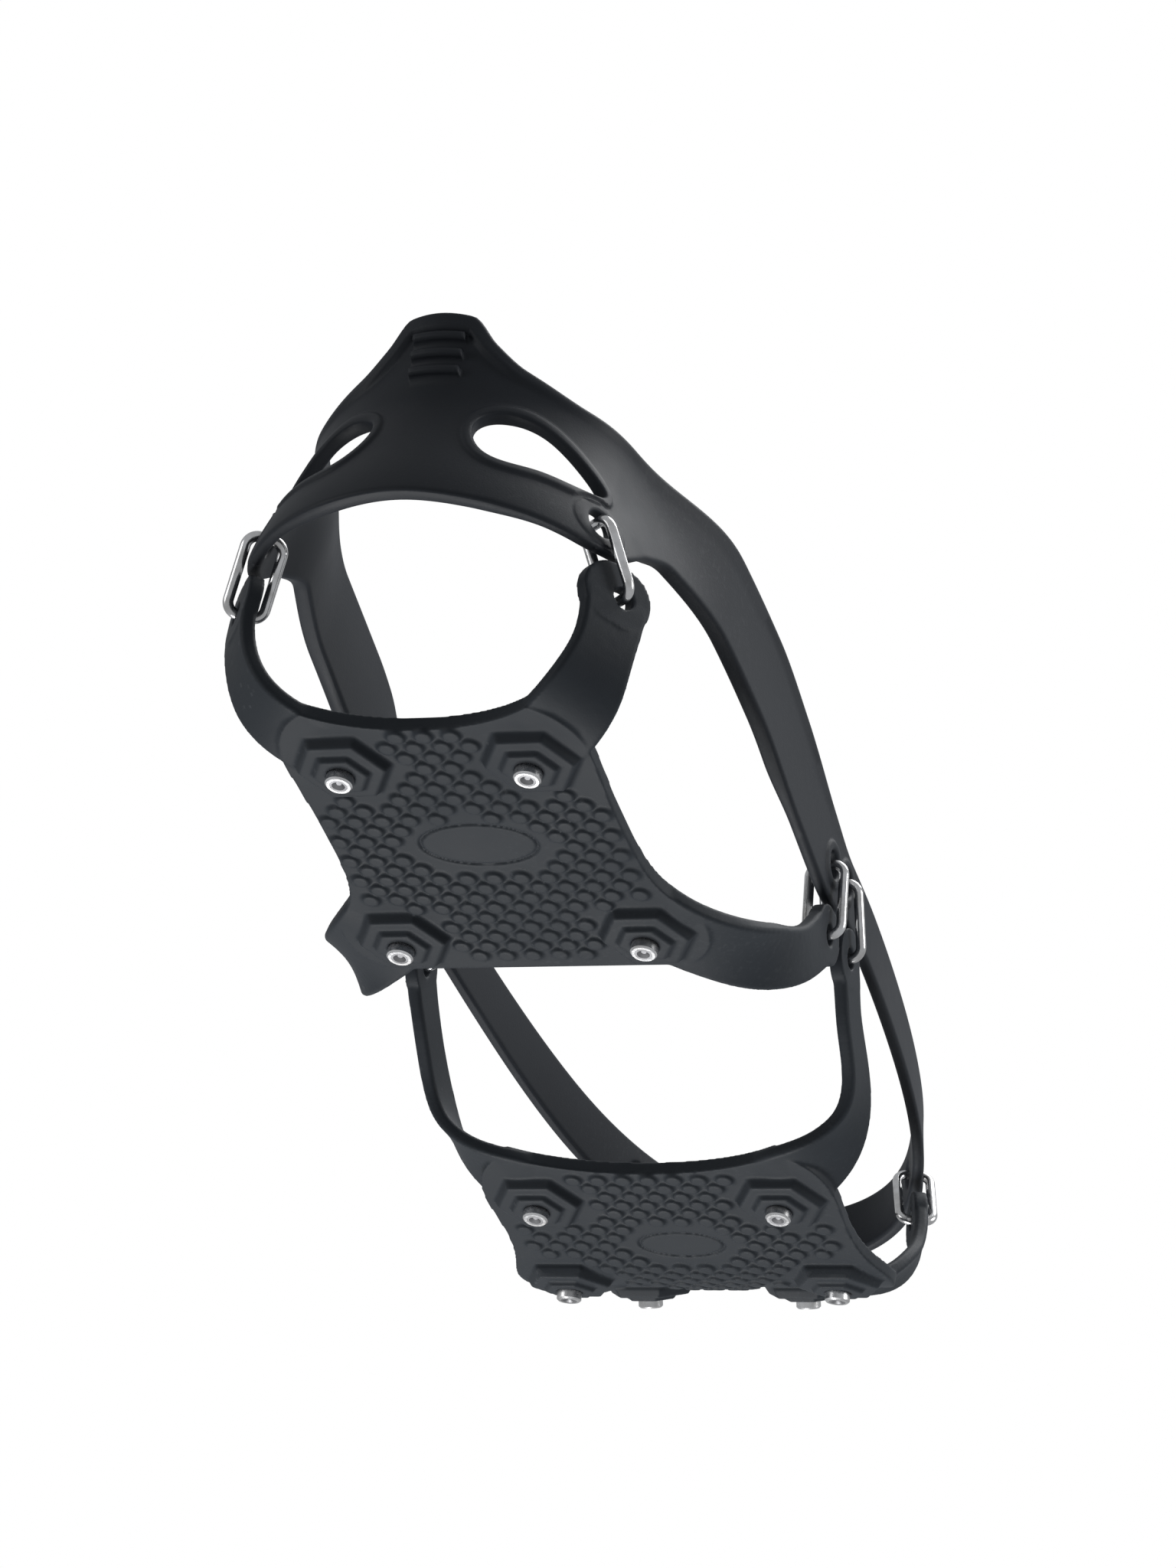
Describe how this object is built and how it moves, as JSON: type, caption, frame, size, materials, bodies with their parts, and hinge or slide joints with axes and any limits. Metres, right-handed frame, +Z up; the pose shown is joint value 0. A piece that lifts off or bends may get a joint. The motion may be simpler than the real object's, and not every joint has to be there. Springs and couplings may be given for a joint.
{
  "type": "shoe ice cleat",
  "caption": "Slip-on traction cleat for a shoe: a stretch rubber harness holds studded heel and forefoot tread plates on short wire links.",
  "frame": {"origin": "Middle of the cleat's length and width, level with the tips of the heel studs it stands on", "axes": "+Y towards the toe, +X towards the wearer's right, +Z up from the ground to the shoe"},
  "size_m": [0.1026, 0.2998, 0.0795],
  "materials": {
    "harness_rubber": "matte",
    "plate_rubber": "satin",
    "link_wire": "polished",
    "stud_steel": "satin",
    "pin_carbide": "ground"
  },
  "bodies": {
    "heel_unit": {"heel_plate": "plate_rubber", "harness_heel": "harness_rubber", "stud_heel_rear_right": "stud_steel", "pin_heel_rear_right": "pin_carbide", "stud_heel_rear_left": "stud_steel", "pin_heel_rear_left": "pin_carbide", "stud_heel_front_right": "stud_steel", "pin_heel_front_right": "pin_carbide", "stud_heel_front_left": "stud_steel", "pin_heel_front_left": "pin_carbide"},
    "forefoot_unit": {"forefoot_plate": "plate_rubber", "harness_toe": "harness_rubber", "stud_ball_right": "stud_steel", "pin_ball_right": "pin_carbide", "stud_ball_left": "stud_steel", "pin_ball_left": "pin_carbide", "stud_toe_outer_right": "stud_steel", "pin_toe_outer_right": "pin_carbide", "stud_toe_outer_left": "stud_steel", "pin_toe_outer_left": "pin_carbide", "stud_toe_inner_right": "stud_steel", "pin_toe_inner_right": "pin_carbide", "stud_toe_inner_left": "stud_steel", "pin_toe_inner_left": "pin_carbide"},
    "rear_link_right": {"link_rear_right": "link_wire"},
    "rear_link_left": {"link_rear_left": "link_wire"},
    "middle_link_right": {"link_middle_right": "link_wire"},
    "middle_link_left": {"link_middle_left": "link_wire"},
    "flex_link_right": {"link_flex_right": "link_wire"},
    "flex_link_left": {"link_flex_left": "link_wire"},
    "toe_link_right": {"link_toe_right": "link_wire"},
    "toe_link_left": {"link_toe_left": "link_wire"}
  },
  "joints": [
    {"name": "forefoot_flex", "type": "hinge", "parent": "heel_unit", "child": "forefoot_unit", "pos_m": [0, 0.0028, 0.05], "axis": [1, 0, 0], "range_deg": [-8, 40]},
    {"name": "rear_link_right_swing", "type": "hinge", "parent": "heel_unit", "child": "rear_link_right", "pos_m": [0.03798, -0.12195, 0.0272], "axis": [0.8183, -0.5742, -0.0259], "range_deg": [-4, 4]},
    {"name": "rear_link_left_swing", "type": "hinge", "parent": "heel_unit", "child": "rear_link_left", "pos_m": [-0.03798, -0.12195, 0.0272], "axis": [0.8183, 0.5742, 0.0259], "range_deg": [-4, 4]},
    {"name": "middle_link_right_swing", "type": "hinge", "parent": "heel_unit", "child": "middle_link_right", "pos_m": [0.04655, -0.00337, 0.0328], "axis": [0.9989, -0.0356, 0.0318], "range_deg": [-6, 6]},
    {"name": "middle_link_left_swing", "type": "hinge", "parent": "heel_unit", "child": "middle_link_left", "pos_m": [-0.04655, -0.00337, 0.0328], "axis": [0.9989, 0.0356, -0.0318], "range_deg": [-6, 6]},
    {"name": "flex_link_right_swing", "type": "hinge", "parent": "forefoot_unit", "child": "flex_link_right", "pos_m": [0.04666, 0.0114, 0.037], "axis": [0.9993, -0.0252, 0.0268], "range_deg": [-6, 6]},
    {"name": "flex_link_left_swing", "type": "hinge", "parent": "forefoot_unit", "child": "flex_link_left", "pos_m": [-0.04666, 0.0114, 0.037], "axis": [0.9993, 0.0252, -0.0268], "range_deg": [-6, 6]},
    {"name": "toe_link_right_swing", "type": "hinge", "parent": "forefoot_unit", "child": "toe_link_right", "pos_m": [0.03717, 0.11525, 0.0377], "axis": [0.9139, 0.3817, 0.138], "range_deg": [-5, 5]},
    {"name": "toe_link_left_swing", "type": "hinge", "parent": "forefoot_unit", "child": "toe_link_left", "pos_m": [-0.03717, 0.11525, 0.0377], "axis": [0.9139, -0.3817, -0.138], "range_deg": [-5, 5]}
  ]
}
